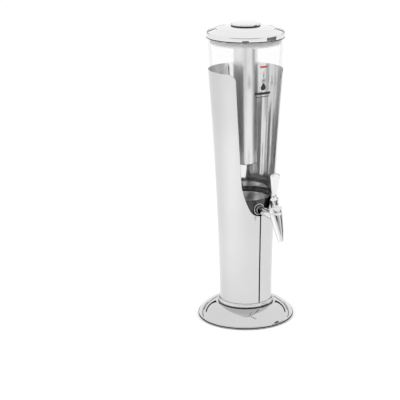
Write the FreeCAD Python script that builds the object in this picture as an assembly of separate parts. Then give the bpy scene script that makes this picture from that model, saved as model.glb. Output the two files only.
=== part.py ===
import FreeCAD, Part
import math
import os

# Beer tower: a heavy domed foot, a tall rolled-steel housing with a U-shaped window, a clear
# tapered tank with a black base cup and a spring-loaded tap, a lid, and an ice tube with its cap.
# Millimetres, +Z up, tap towards -Y. The origin is the centre of the underside of the foot.

V = FreeCAD.Vector

# ---- driving dimensions ------------------------------------------------------------------
HEIGHT = 630.0                # floor to the top of the ice cap

BASE_RADIUS = 101.8           # widest point of the foot
BASE_TOP = 31.8               # flat top of the foot, under the housing
DOME_RADIUS = 49.0            # section radius of the foot's shoulder
DOME_CENTRE_R = 58.4          # where that section's centre stands, from the axis
BASE_SHEET = 1.5
PAD_THICK = 3.0
BASE_BOLT_CIRCLE = 30.0       # radius of the bolt circle
BASE_BOLT_R = 2.5

HOUSING_BOTTOM = 35.0
HOUSING_TOP = 535.0
HOUSING_R_BOTTOM = 55.2       # outside radii at the bottom, half way up and at the top
HOUSING_R_MID = 62.5
HOUSING_R_TOP = 77.6
SHEET = 1.0
RING_RADIUS = 59.4
RING_TOP = 41.0
SEAM_GAP = 1.7

WINDOW_BOTTOM = 233.5         # lowest point of the U-shaped window
WINDOW_SIDE_Z = 300.0         # where the U turns into straight sides
WINDOW_SIDE_X = 39.6          # half width there
WINDOW_TOP_X = 55.0           # half width under the rounded top corner
WINDOW_CORNER = 17.5          # height of the rounded top corner
WINDOW_CORNER_X = 66.7        # where the corner meets the top edge

SEAT_Z = 205.0                # top of the shelf that carries the tank
SEAT_PAD = 2.0
CUP_BOTTOM = SEAT_Z + SEAT_PAD
CUP_TOP = 267.0
CUP_R_BOTTOM = 49.0
CUP_R_TOP = 52.5
CUP_WALL = 3.0
CUP_FLOOR = 232.0             # inside floor of the tank
SPIGOT_DEPTH = 7.0            # how far the clear wall enters the cup
TANK_TOP = 605.0
TANK_WALL = 3.0
TANK_R_TOP = 77.4

TAP_Z = 247.0                 # height of the tap's shank
TAP_REACH = 122.9             # where the tap's axis crosses the shank's, from the tower's axis
TAP_TILT = 19.0               # the tap's axis, top leaning to the tank
SHANK_R = 9.0
SHANK_THREAD_R = 7.5
SHANK_BORE_R = 4.0
WASHER_R = 12.0
TAP_BODY_R = 13.2
TAP_TIP_R = 5.8
TAP_TIP = -51.0               # heights along the tap's own axis, 0 at the shank
TAP_BODY_TOP = 14.0
BONNET_R = 13.5
BONNET_TOP = 21.0
YOKE_HALF = 6.5               # half width of the yoke, both ways
YOKE_SLOT = 3.0               # half width of its slot
PIN_AHEAD = 6.5               # the lever's pin, ahead of the tap's axis
PIN_UP = 37.0                 # and above the shank
PIN_R = 1.25
HANDLE_LEAN = 7.0             # the handle leans forward of upright
HANDLE_TOP = 53.5             # along the handle, from its foot point
LEVER_RUN = 0.3               # clearance of a part that moves

LID_RADIUS = 80.5
LID_BOTTOM = 601.4
LID_SHEET = 1.5
LID_SEAT_Z = 624.3            # flat centre of the lid, which carries the ice tube
ICE_R_TOP = 25.0
ICE_R_BOTTOM = 24.0
ICE_BOTTOM = 336.0
ICE_WALL = 1.0
CAP_RADIUS = 30.2

FIT = 0.05                    # flat faces of lift-off parts that rest on each other
ICE_SEAT = LID_SEAT_Z + FIT + 1.7     # top of the ice tube's flange, which carries the cap


# ---- helpers -----------------------------------------------------------------------------
def outline(start, *steps):
    """Closed face in the XZ plane. A step is a point, (through, end) for an arc, or
    (pole, pole, end) for a Bezier curve."""
    edges, here = [], start
    for step in steps + (start,):
        points = step if isinstance(step[0], tuple) else (step,)
        vectors = [V(x, 0, z) for x, z in (here,) + points]
        if len(points) == 1 and vectors[0].distanceToPoint(vectors[1]) > 1e-6:
            edges.append(Part.LineSegment(*vectors).toShape())
        elif len(points) == 2:
            edges.append(Part.Arc(*vectors).toShape())
        elif len(points) == 3:
            curve = Part.BezierCurve()
            curve.setPoles(vectors)
            edges.append(curve.toShape())
        here = points[-1]
    return Part.Face(Part.Wire(edges))


def turned(start, *steps):
    """Solid turned about Z from an outline of (radius, height) points."""
    return outline(start, *steps).revolve(V(0, 0, 0), V(0, 0, 1), 360)


def ring(r_in, r_out, z_low, z_high):
    return turned((r_in, z_low), (r_out, z_low), (r_out, z_high), (r_in, z_high))


def rod(radius, z_low, z_high, x=0.0, y=0.0):
    return Part.makeCylinder(radius, z_high - z_low, V(x, y, z_low))


def rod_out(radius, reach_near, reach_far, height=TAP_Z):
    """Rod along -Y, between two distances from the tower's axis."""
    return Part.makeCylinder(radius, reach_far - reach_near, V(0, -reach_near, height), V(0, -1, 0))


def block(x_half, y_low, y_high, z_low, z_high):
    return Part.makeBox(2 * x_half, y_high - y_low, z_high - z_low, V(-x_half, y_low, z_low))


def hexagon(across_flats, z_low, z_high, x=0.0, y=0.0):
    corner = across_flats / math.sqrt(3)
    points = [V(x + corner * math.cos(math.radians(60 * k)), y + corner * math.sin(math.radians(60 * k)),
                z_low) for k in range(7)]
    return Part.Face(Part.makePolygon(points)).extrude(V(0, 0, z_high - z_low))


def side_plate(x_low, x_high, start, *steps):
    """Plate with its outline in the side view: points are (ahead, up), ahead being -Y."""
    face = outline(start, *steps)
    face.rotate(V(0, 0, 0), V(0, 0, 1), -90)
    return face.extrude(V(x_high - x_low, 0, 0)).translated(V(x_low, 0, 0))


def on_tap(shape):
    """Move a shape from the tap's own frame (its axis on Z, 0 at the shank) to the tower's."""
    shape = shape.copy()
    shape.rotate(V(0, 0, 0), V(1, 0, 0), -TAP_TILT)
    shape.translate(V(0, -TAP_REACH, TAP_Z))
    return shape


def around(count, make, start=45.0):
    """Copies of one item about Z as a group of separate solids."""
    items = []
    for k in range(count):
        item = make()
        item.rotate(V(0, 0, 0), V(0, 0, 1), start + 360.0 * k / count)
        items.append(item)
    return Part.makeCompound(items)


def without(shape, *cutters):
    for cutter in cutters:
        shape = shape.cut(cutter)
    return shape


def bolt_holes(radius, z_low, z_high):
    return around(4, lambda: rod(radius, z_low, z_high, BASE_BOLT_CIRCLE))


# ---- foot --------------------------------------------------------------------------------
def dome_z(r, section):
    """Height of the foot's shoulder at radius r, for a section of the given radius."""
    centre_z = BASE_TOP - DOME_RADIUS
    return centre_z + math.sqrt(section ** 2 - (r - DOME_CENTRE_R) ** 2)


def base_cover():
    edge_r, inner_section = BASE_RADIUS - 0.5, DOME_RADIUS - BASE_SHEET
    inner_r = BASE_RADIUS - 0.5 - BASE_SHEET
    shell = turned(
        (0, BASE_TOP - BASE_SHEET), (0, BASE_TOP), (DOME_CENTRE_R, BASE_TOP),
        ((85.0, dome_z(85.0, DOME_RADIUS)), (edge_r, dome_z(edge_r, DOME_RADIUS))),
        ((BASE_RADIUS, 4.0), (edge_r, 1.0)), (inner_r, 1.0), (inner_r, dome_z(inner_r, inner_section)),
        ((85.0, dome_z(85.0, inner_section)), (DOME_CENTRE_R, BASE_TOP - BASE_SHEET)))
    return without(shell, bolt_holes(BASE_BOLT_R + 0.2, 20, 40))


def base_weight():
    top = BASE_TOP - BASE_SHEET
    casting = turned((0, PAD_THICK), (96, PAD_THICK), (96, 9), (88, 16), (60, 19), (48, top), (0, top))
    return without(casting, bolt_holes(BASE_BOLT_R + 0.2, 0, 40), bolt_holes(6.5, 0, 10))


def base_pad():
    return without(rod(98, 0, PAD_THICK), bolt_holes(6.5, -1, 5))


def base_bolts():
    def bolt():
        head = rod(4.6, 5.2, 9.0, BASE_BOLT_CIRCLE)
        socket = hexagon(4.0, 5.0, 7.2, BASE_BOLT_CIRCLE)
        return head.cut(socket).fuse(rod(BASE_BOLT_R, 9.0, 43.5, BASE_BOLT_CIRCLE)).removeSplitter()
    return around(4, bolt)


def base_washers():
    return around(4, lambda: without(rod(6.2, 9.0, 10.0, BASE_BOLT_CIRCLE),
                                     rod(BASE_BOLT_R + 0.1, 8, 11, BASE_BOLT_CIRCLE)))


def base_nuts():
    low = HOUSING_BOTTOM + 2.0
    return around(4, lambda: without(hexagon(8.0, low, low + 4.0, BASE_BOLT_CIRCLE),
                                     rod(BASE_BOLT_R + 0.05, low - 1, low + 5, BASE_BOLT_CIRCLE)))


# ---- housing -----------------------------------------------------------------------------
def housing_curve(inset):
    """Bezier poles of the housing's wall, bottom to top, moved in by inset."""
    bend_r = 2 * HOUSING_R_MID - (HOUSING_R_BOTTOM + HOUSING_R_TOP) / 2
    third = (HOUSING_TOP - HOUSING_BOTTOM) / 3
    return ((HOUSING_R_BOTTOM - inset, HOUSING_BOTTOM),
            ((HOUSING_R_BOTTOM + 2 * bend_r) / 3 - inset, HOUSING_BOTTOM + third),
            ((HOUSING_R_TOP + 2 * bend_r) / 3 - inset, HOUSING_TOP - third),
            (HOUSING_R_TOP - inset, HOUSING_TOP))


def housing_core(inset):
    """Everything inside the housing's wall, moved in by inset."""
    poles = housing_curve(inset)
    return turned((0, HOUSING_BOTTOM), poles[0], poles[1:], (0, HOUSING_TOP))


def window_cutter():
    """The window as seen from the front, pushed through the front half of the wall."""
    low, bottom_r = WINDOW_BOTTOM, 27.0
    turn = math.radians(33.0)                   # where the small bottom arc meets the large side arc
    meet_x, meet_z = bottom_r * math.cos(turn), low + bottom_r * (1 - math.sin(turn))
    mid_x, mid_z = 33.2, low + 38.5
    corner_z = HOUSING_TOP - WINDOW_CORNER
    pull = 0.55                                 # Bezier handle of a quarter ellipse
    run = WINDOW_CORNER_X - WINDOW_TOP_X
    corner = ((WINDOW_TOP_X, corner_z + pull * WINDOW_CORNER),
              (WINDOW_CORNER_X - pull * run, HOUSING_TOP), (WINDOW_CORNER_X, HOUSING_TOP))
    above = HOUSING_TOP + 20
    left_corner = ((-WINDOW_CORNER_X + pull * run, HOUSING_TOP),
                   (-WINDOW_TOP_X, corner_z + pull * WINDOW_CORNER), (-WINDOW_TOP_X, corner_z))
    face = outline(
        (-meet_x, meet_z), ((0, low), (meet_x, meet_z)),
        ((mid_x, mid_z), (WINDOW_SIDE_X, WINDOW_SIDE_Z)), (WINDOW_TOP_X, corner_z), corner,
        (WINDOW_CORNER_X, above), (-WINDOW_CORNER_X, above), (-WINDOW_CORNER_X, HOUSING_TOP),
        left_corner, (-WINDOW_SIDE_X, WINDOW_SIDE_Z), ((-mid_x, mid_z), (-meet_x, meet_z)))
    return face.extrude(V(0, -120, 0))


def housing():
    """Rolled sheet, built in four quarters so that each face stays simple."""
    outer, inner = housing_curve(0), housing_curve(SHEET)
    seam = block(SEAM_GAP / 2, -90, -30, HOUSING_BOTTOM - 5, WINDOW_BOTTOM + 10)
    quarters = []
    for start in (-90, 0, 90, 180):
        section = outline(outer[0], outer[1:], inner[3], (inner[2], inner[1], inner[0]))
        section.rotate(V(0, 0, 0), V(0, 0, 1), start)
        quarter = section.revolve(V(0, 0, 0), V(0, 0, 1), 90)
        quarters.append(without(quarter, window_cutter(), seam))
    return quarters[0].fuse(quarters[1:])


def seam_strip():
    skin = housing_core(SHEET).cut(housing_core(SHEET + 1.2))
    return skin.common(block(7.0, -90, -30, HOUSING_BOTTOM + 9.0, WINDOW_BOTTOM - 2.0))


def housing_ring():
    lip_top = HOUSING_BOTTOM
    low = BASE_TOP + 1.5
    inner = HOUSING_R_BOTTOM + 0.3
    cup = turned((20, low), (RING_RADIUS - 0.6, low), (RING_RADIUS, low + 0.8),
                 (RING_RADIUS, RING_TOP - 3.5),
                 ((RING_RADIUS - 1.0, RING_TOP - 1.1), (RING_RADIUS - 3.2, RING_TOP)),
                 (inner, RING_TOP), (inner, lip_top), (20, lip_top))
    return without(cup, bolt_holes(BASE_BOLT_R + 0.2, 30, 40))


def ring_gasket():
    disc = ring(20, RING_RADIUS + 0.1, BASE_TOP, BASE_TOP + 1.5)
    return without(disc, bolt_holes(BASE_BOLT_R + 0.2, 30, 40))


def housing_bottom_plate():
    tray = turned((0, 35), (53.8, 35), (53.8, 43), (52.3, 43), (52.3, 37), (0, 37))
    return without(tray, bolt_holes(BASE_BOLT_R + 0.2, 30, 40))


def tank_seat():
    """Pressed shelf: a flat ring with a skirt against the housing's inner face."""
    skirt_depth = 14.0
    shelf = ring(18, 70, SEAT_Z - 1.5, SEAT_Z)
    skirt = housing_core(SHEET).cut(housing_core(SHEET + 1.5))
    skirt = skirt.common(rod(80, SEAT_Z - skirt_depth, SEAT_Z))
    shape = shelf.common(housing_core(SHEET)).fuse(skirt).removeSplitter()
    return without(shape, block(7.5, -90, -54, SEAT_Z - 20, SEAT_Z + 5))


def tank_seat_pad():
    return ring(30, 48, SEAT_Z, SEAT_Z + SEAT_PAD)


# ---- tank --------------------------------------------------------------------------------
def cup_radius(z):
    return CUP_R_BOTTOM + (CUP_R_TOP - CUP_R_BOTTOM) * (z - CUP_BOTTOM) / (CUP_TOP - CUP_BOTTOM)


def cup_inside():
    """The tank's lower room, inside the cup's wall."""
    return turned((0, CUP_FLOOR), (cup_radius(CUP_FLOOR) - CUP_WALL, CUP_FLOOR),
                  (cup_radius(CUP_TOP) - CUP_WALL, CUP_TOP), (0, CUP_TOP))


def cup_outside():
    return turned((0, CUP_BOTTOM), (CUP_R_BOTTOM, CUP_BOTTOM), (CUP_R_TOP, CUP_TOP), (0, CUP_TOP))


def tank_base_cup():
    rebate_z, rebate_r = CUP_TOP - SPIGOT_DEPTH, CUP_R_TOP - 1.8
    skirt_wall = 3.5
    wall = without(cup_outside(), cup_inside(), ring(0.0, rebate_r, rebate_z, CUP_TOP + 1),
                   turned((0, CUP_BOTTOM - 1), (CUP_R_BOTTOM - skirt_wall, CUP_BOTTOM - 1),
                          (CUP_R_BOTTOM - skirt_wall, CUP_FLOOR - 5), (0, CUP_FLOOR - 3)))
    return without(wall, rod_out(SHANK_THREAD_R + 0.2, 30, 70))


def tank_base_oring():
    low = CUP_TOP - SPIGOT_DEPTH
    return ring(CUP_R_TOP - 4.4, CUP_R_TOP - 1.9, low, low + 1.2)


def tank_wall_poles(inset):
    """Bezier poles of the clear wall above the cup, moved in by inset."""
    return ((67.0 - inset, 440.0), (75.5 - inset, 545.0), (TANK_R_TOP - inset, TANK_TOP))


def tank():
    spigot_low = CUP_TOP - SPIGOT_DEPTH + 1.2
    spigot_r, inner_r = CUP_R_TOP - 1.9, CUP_R_TOP - TANK_WALL - 1.1
    up, down = tank_wall_poles(0), tank_wall_poles(TANK_WALL)
    return turned((inner_r, spigot_low), (spigot_r, spigot_low), (spigot_r, CUP_TOP),
                  (CUP_R_TOP, CUP_TOP), up,
                  down[2], (down[1], down[0], (CUP_R_TOP - TANK_WALL, CUP_TOP)))


# ---- tap ---------------------------------------------------------------------------------
def tap_body_outside():
    return turned((0, TAP_TIP), (TAP_TIP_R, TAP_TIP),
                  ((10.6, -22.0), (TAP_BODY_R, 4.0)), (TAP_BODY_R, 8.7), (0, 8.7))


def tap_body():
    neck = rod(11.5, 8.7, TAP_BODY_TOP)
    chamber = turned((0, TAP_TIP - 1), (3.9, TAP_TIP - 1), (3.5, -30), (3.5, -8.6),
                     (7.0, -5.1), (7.0, 20), (0, 20))
    shape = on_tap(without(tap_body_outside().fuse(neck).removeSplitter(), chamber))
    return without(shape, rod_out(SHANK_R - 3.0 + 0.05, TAP_REACH - 16, TAP_REACH - 4))


def tap_shank():
    taken = tap_body_outside().fuse(rod(BONNET_R + FIT, 8.7, BONNET_TOP + 5.0))
    barrel = rod_out(SHANK_R, 54.5, TAP_REACH).cut(on_tap(taken))
    barrel = max(barrel.Solids, key=lambda s: s.Volume)
    thread = rod_out(SHANK_THREAD_R, 35.5, 54.5)
    spigot = rod_out(SHANK_R - 3.0, 100.0, TAP_REACH - 8.5)
    solid = barrel.fuse([thread, spigot]).removeSplitter()
    return without(solid, rod_out(SHANK_BORE_R, 30, TAP_REACH), on_tap(rod(7.0, -20, 20)),
                   on_tap(ring(11.5, BONNET_R + FIT, 8.7, BONNET_TOP)))


def tap_outer_washer():
    disc = rod_out(WASHER_R, 45, 54.5)
    return without(disc, cup_outside(), rod_out(SHANK_THREAD_R + 0.05, 30, 60))


def tap_inner_washer():
    disc = rod_out(WASHER_R - 0.5, 45.2, 52).common(cup_inside())
    return without(disc, rod_out(SHANK_THREAD_R + 0.05, 30, 60))


def tap_nut():
    nut = hexagon(21.0, 38.2, 45.2)
    nut = nut.cut(rod(SHANK_THREAD_R + 0.05, 30, 50))
    nut.rotate(V(0, 0, 0), V(1, 0, 0), 90)
    return nut.translated(V(0, 0, TAP_Z))


def yoke_outline(grow=0.0):
    """Side view of the yoke's cheeks: a post with a lobe round the lever's pin."""
    lobe = 4.5 + grow
    foot, back_top = 17.5, PIN_UP + 1.0

    def on_lobe(degrees):
        turn = math.radians(degrees)
        return PIN_AHEAD + lobe * math.cos(turn), PIN_UP + lobe * math.sin(turn)

    return ((-YOKE_HALF, foot), (YOKE_HALF, foot), (YOKE_HALF, PIN_UP - lobe),
            ((PIN_AHEAD + lobe, PIN_UP), (PIN_AHEAD, PIN_UP + lobe)),
            (on_lobe(120), on_lobe(150)), (-YOKE_HALF + 3.0, back_top),
            ((-YOKE_HALF + 0.9, back_top - 0.9), (-YOKE_HALF, back_top - 3.0)))


def tap_yoke():
    post = side_plate(-YOKE_HALF, YOKE_HALF, *yoke_outline())
    post = post.makeFillet(1.2, [e for e in post.Edges
                                 if abs(e.BoundBox.ZLength - (PIN_UP - 4.5 - 17.5)) < 0.5
                                 and e.BoundBox.YLength < 0.1])
    slot = block(YOKE_SLOT, -20, 20, 24.0, 60)
    flange = turned((0, 8), (6.8, 8), (6.8, TAP_BODY_TOP), (10.0, TAP_BODY_TOP), (10.0, 17.5), (0, 17.5))
    pin_hole = Part.makeCylinder(PIN_R + 0.05, 40, V(-20, -PIN_AHEAD, PIN_UP), V(1, 0, 0))
    return on_tap(without(flange.fuse(post).removeSplitter(), slot, rod(2.1, 0, 60), pin_hole))


def tap_bonnet():
    ring_nut = turned((11.6, 9.0), (BONNET_R, 9.0), (BONNET_R, BONNET_TOP - 1.5),
                      ((BONNET_R - 0.5, BONNET_TOP - 0.45), (BONNET_R - 1.6, BONNET_TOP)),
                      (10.3, BONNET_TOP), (9.6, BONNET_TOP - 0.7), (9.6, 17.7), (11.6, 17.7))
    return on_tap(ring_nut)


def tap_bonnet_seal():
    return on_tap(ring(0.0, 9.5, 17.5, 18.7).cut(block(YOKE_HALF, -YOKE_HALF, YOKE_HALF, 17, 20)))


def tap_spring():
    """Open coil, made of short straight lengths of six-sided wire so that it stays light."""
    turns, per_turn, sides = 4, 14, 6
    wire, coil, low, high = 0.4, 3.9, 0.9, 7.6
    corners = [(coil + wire * math.cos(a), wire * math.sin(a))
               for a in (2 * math.pi * k / sides for k in range(sides))]
    hoops = []
    for i in range(turns * per_turn + 1):
        turn, height = 2 * math.pi * i / per_turn, low + (high - low) * i / (turns * per_turn)
        hoops.append([V(r * math.cos(turn), r * math.sin(turn), height + rise) for r, rise in corners])
    facets = [[hoops[0][k] for k in reversed(range(sides))], hoops[-1]]
    for here, there in zip(hoops, hoops[1:]):
        for k in range(sides):
            n = (k + 1) % sides
            facets += [[here[k], here[n], there[n]], [here[k], there[n], there[k]]]
    faces = [Part.Face(Part.makePolygon(points + points[:1])) for points in facets]
    spring = Part.makeSolid(Part.makeShell(faces))
    if spring.Volume < 0:
        spring.reverse()
    return on_tap(spring)


def tap_stem():
    stem = turned((0, -6.2), (1.5, -6.2), (1.5, -3.0), (5.5, -3.0), (5.5, 0.5), (2.0, 0.5), (2.0, 31.0),
                  (1.4, 31.6), (1.4, 36.0), (2.7, 36.0), (2.7, 37.2), (2.2, 37.7), (0, 37.7))
    return on_tap(stem)


def tap_seat_cup():
    plug = turned((0, -9.2), (2.4, -9.2), (3.2, -8.6), (6.2, -5.4), (6.2, -3.0), (0, -3.0))
    return on_tap(plug.cut(rod(1.5, -6.2, 0)))


def handle_frame(shape):
    """Move a shape from the handle's own frame (foot point 0, +Z along it) to the tower's."""
    shape = shape.copy()
    shape.rotate(V(0, 0, 0), V(1, 0, 0), HANDLE_LEAN)
    shape.translate(V(0, -110.5, 286.0))
    return shape


def tap_lever():
    """Tongue between the yoke's cheeks: pin hub, two prongs under the stem's head, and a ferrule."""
    half = YOKE_SLOT - LEVER_RUN
    hub_r, nose_r, nose_up = 3.4, 1.2, PIN_UP - 2.4
    hub = Part.makeCylinder(hub_r, 2 * half, V(-half, -PIN_AHEAD, PIN_UP), V(1, 0, 0))
    stalk = side_plate(-half, half, (PIN_AHEAD + 3.2, PIN_UP), (PIN_AHEAD + 2.4, 45.5), (-1.0, 48.0),
                       (PIN_AHEAD - 3.3, 39.4), (PIN_AHEAD - 3.3, PIN_UP))
    prongs = side_plate(-half, half, (PIN_AHEAD, nose_up + nose_r), (0, nose_up + nose_r),
                        ((-nose_r, nose_up), (0, nose_up - nose_r)), (PIN_AHEAD, nose_up - nose_r))
    prongs = prongs.cut(block(1.7, -3.0, 9, 0, 60))
    tongue = on_tap(hub.fuse([stalk, prongs]))
    pin_hole = on_tap(Part.makeCylinder(PIN_R + 0.05, 40, V(-20, -PIN_AHEAD, PIN_UP), V(1, 0, 0)))
    ferrule = handle_frame(turned((0, 4.0), (5.2, 4.0), (5.8, 4.6), (5.8, 8.0), (0, 8.0)))
    stud_hole = handle_frame(rod(2.05, 5.0, 9.0))
    return without(tongue.fuse(ferrule).removeSplitter(), pin_hole, stud_hole)


def tap_pin():
    return on_tap(Part.makeCylinder(PIN_R, 2 * YOKE_HALF - 0.4, V(0.2 - YOKE_HALF, -PIN_AHEAD, PIN_UP),
                                    V(1, 0, 0)))


def tap_handle():
    """Flat paddle that widens upwards, with a crowned top and softened edges."""
    low, foot_half, top_half, shoulder, thick = 8.0, 4.9, 10.8, 46.0, 8.6
    crown, rise = HANDLE_TOP - 0.9, 4.2
    front = outline((-foot_half, low), (foot_half, low), (top_half, shoulder),
                    ((top_half, shoulder + rise), (top_half - 2.2, crown), (0, HANDLE_TOP)),
                    ((2.2 - top_half, crown), (-top_half, shoulder + rise), (-top_half, shoulder)))
    paddle = front.extrude(V(0, thick, 0)).translated(V(0, -thick / 2, 0))
    face_edges = [e for e in paddle.Edges if e.BoundBox.YLength < 0.1 and e.BoundBox.ZMax > low + 0.1]
    paddle = paddle.makeFillet(3.0, face_edges)
    return handle_frame(paddle.cut(rod(2.05, 0, 20.0)))


def tap_handle_stud():
    return handle_frame(rod(2.0, 5.0, 20.0))


# ---- lid, ice tube and cap ---------------------------------------------------------------
def lid_shell():
    t = LID_SHEET
    hole = ICE_R_TOP + 1.5
    return turned(
        (LID_RADIUS - t, LID_BOTTOM), (LID_RADIUS, LID_BOTTOM), (LID_RADIUS, 610.5),
        ((LID_RADIUS - 1.0, 612.6), (LID_RADIUS - 3.2, 613.9)), (62.6, 618.6), (62.0, 619.8),
        ((47.0, 622.9), (33.0, LID_SEAT_Z)), (hole, LID_SEAT_Z), (hole, LID_SEAT_Z - t),
        (33.0, LID_SEAT_Z - t), ((47.0, 622.9 - t), (61.0, 619.8 - t)), (61.4, 618.6 - t),
        (LID_RADIUS - 4.0, 613.0 - t), (LID_RADIUS - t, 610.5 - t))


def lid_liner():
    plate_low = TANK_TOP + 1.0
    plate = ring(27.6, LID_RADIUS - LID_SHEET, plate_low, plate_low + 2.0)
    skirt = ring(70.4, 72.9, 588.0, plate_low)
    return plate.fuse(skirt).removeSplitter()


def lid_seal():
    """Soft ring: a band on the skirt inside the tank and a flat lip on the tank's rim."""
    low, rim = 591.0, TANK_TOP + FIT
    return turned((72.9, low), (73.4, low), (73.75, low + 1.5), (73.75, low + 5.5), (73.4, rim),
                  (78.4, rim), (78.4, TANK_TOP + 1.0), (72.9, TANK_TOP + 1.0))


def lid_collar():
    flange_top = LID_SEAT_Z - LID_SHEET
    bore = ICE_R_TOP + 0.6
    return turned((bore, 598.0), (27.5, 598.0), (27.5, TANK_TOP + 3.0), (31.5, TANK_TOP + 3.0),
                  (31.5, flange_top), (bore, flange_top))


def ice_tube():
    """Drawn tube, slightly tapered, with a flange that hangs on the lid."""
    flange_low, shoulder = ICE_SEAT - 0.9, LID_SEAT_Z
    join = ICE_BOTTOM + 8.0
    return turned((ICE_R_BOTTOM - ICE_WALL, join), (ICE_R_BOTTOM, join), (ICE_R_TOP, shoulder - 20),
                  (ICE_R_TOP, flange_low), (29.2, flange_low), (29.2, ICE_SEAT),
                  (ICE_R_TOP - ICE_WALL, ICE_SEAT), (ICE_R_TOP - ICE_WALL, shoulder - 20))


def ice_tube_base():
    """Pressed end cup welded into the tube."""
    r, z, join = ICE_R_BOTTOM, ICE_BOTTOM, ICE_BOTTOM + 8.0
    bend, t = 3.0, ICE_WALL
    k = bend * (1 - math.sqrt(0.5))
    return turned((0, z), (r - bend, z), ((r - k, z + k), (r, z + bend)), (r, join), (r - t, join),
                  (r - t, z + bend), ((r - k - 0.7 * t, z + k + 0.7 * t), (r - bend, z + t)), (0, z + t))


def ice_tube_gasket():
    low = LID_SEAT_Z + FIT
    return ring(26.8, 29.0, low, low + 0.8)


def ice_cap():
    """Flat disc with a short skirt round the tube's flange."""
    low = ICE_SEAT + FIT
    skirt_low, skirt_r = LID_SEAT_Z + LEVER_RUN, 29.6
    return turned((0, low), (skirt_r, low), (skirt_r, skirt_low), (CAP_RADIUS, skirt_low),
                  (CAP_RADIUS, HEIGHT - 1.6),
                  ((CAP_RADIUS - 0.5, HEIGHT - 0.5), (CAP_RADIUS - 1.6, HEIGHT)), (0, HEIGHT))


def ice_cap_plug():
    high = ICE_SEAT + FIT
    return turned((0, 610.0), (22.0, 610.0), (23.0, 611.0), (23.0, 614.6), (21.9, 614.6), (21.9, 617.4),
                  (23.0, 617.4), (23.0, high), (0, high))


def ice_cap_oring():
    return turned((21.9, 614.7), (23.2, 614.7), ((23.7, 616.0), (23.2, 617.3)), (21.9, 617.3))


# ---- write every piece -------------------------------------------------------------------
PIECES = [
    base_cover, base_weight, base_pad, base_bolts, base_washers, base_nuts,
    ring_gasket, housing_ring, housing_bottom_plate, housing, seam_strip, tank_seat, tank_seat_pad,
    tank_base_cup, tank_base_oring, tank,
    tap_body, tap_shank, tap_outer_washer, tap_inner_washer, tap_nut,
    tap_yoke, tap_bonnet, tap_bonnet_seal, tap_spring, tap_stem, tap_seat_cup,
    tap_lever, tap_pin, tap_handle, tap_handle_stud,
    lid_shell, lid_liner, lid_seal, lid_collar,
    ice_tube, ice_tube_base, ice_tube_gasket, ice_cap, ice_cap_plug, ice_cap_oring,
]

os.makedirs("parts", exist_ok=True)
for make in PIECES:
    shape = make()
    if not shape.isValid() or shape.Volume <= 0:
        raise ValueError(make.__name__ + " is not a valid solid")
    print(make.__name__, len(shape.Solids), "solid(s)", round(shape.Volume), "mm3")
    shape.exportStep("parts/" + make.__name__ + ".step")
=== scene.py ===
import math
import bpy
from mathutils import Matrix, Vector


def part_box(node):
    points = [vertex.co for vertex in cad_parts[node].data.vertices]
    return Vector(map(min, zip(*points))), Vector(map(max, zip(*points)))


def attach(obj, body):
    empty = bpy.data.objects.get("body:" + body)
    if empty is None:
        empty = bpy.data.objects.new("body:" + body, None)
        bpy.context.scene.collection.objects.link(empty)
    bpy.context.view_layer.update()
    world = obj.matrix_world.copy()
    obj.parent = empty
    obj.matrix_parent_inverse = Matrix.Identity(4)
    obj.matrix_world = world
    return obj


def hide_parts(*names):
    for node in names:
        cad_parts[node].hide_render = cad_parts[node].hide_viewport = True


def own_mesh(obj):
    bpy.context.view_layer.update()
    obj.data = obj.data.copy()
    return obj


bl_info = {
    "name": "Beer Tower Looks",
    "version": (1, 0, 0),
    "blender": (4, 5, 0),
    "location": "3D View > Sidebar > Beer Tower",
    "description": "Dresses a beer tower: domed foot, rolled housing, clear tank, tap, lid and ice tube",
    "category": "Object",
}

import bmesh
import bpy
from bpy.props import FloatProperty, FloatVectorProperty, IntProperty, PointerProperty
from mathutils import Vector

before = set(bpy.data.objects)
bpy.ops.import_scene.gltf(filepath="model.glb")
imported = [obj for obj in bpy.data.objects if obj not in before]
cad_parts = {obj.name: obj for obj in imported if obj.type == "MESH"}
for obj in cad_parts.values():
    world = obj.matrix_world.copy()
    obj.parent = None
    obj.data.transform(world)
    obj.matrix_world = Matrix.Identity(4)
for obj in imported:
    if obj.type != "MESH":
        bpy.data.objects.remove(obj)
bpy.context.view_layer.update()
MM = 0.001


def top_of(node):
    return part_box(node)[1].z


def reach_of(node):
    """Largest distance of a round node from the tower's axis."""
    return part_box(node)[1].x


# ---- sizes and colours a user may change ---------------------------------------------------
def length(name, description, default, **more):
    return FloatProperty(name=name, description=description, default=default, unit="LENGTH",
                         precision=5, **more)


def colour(name, description, default):
    return FloatVectorProperty(name=name, description=description, subtype="COLOR", size=3,
                               min=0.0, max=1.0, default=default)


def share(name, description, default):
    return FloatProperty(name=name, description=description, default=default, min=0.0, max=1.0,
                         subtype="FACTOR")


class TowerSizes(bpy.types.PropertyGroup):
    sides: IntProperty(name="Sides", description="Facets round the large turned pieces",
                       default=176, min=48, max=256)
    small_sides: IntProperty(name="Small sides", description="Facets round the tap's turned pieces",
                             default=72, min=24, max=128)
    ease: length("Edge softness", "Rounding of pressed and turned edges", 0.0004)
    print_lift: length("Print thickness", "How far printed marks stand off the tank", 0.00012)
    foot_radius: length("Foot radius", "Widest point of the foot", reach_of("base_cover"))
    foot_top: length("Foot top", "Height of the foot's flat top", top_of("base_cover"))
    lid_radius: length("Lid radius", "Outside of the lid's rim", reach_of("lid_shell"))
    tank_top: length("Tank top", "Rim of the clear tank", top_of("tank"))


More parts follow.
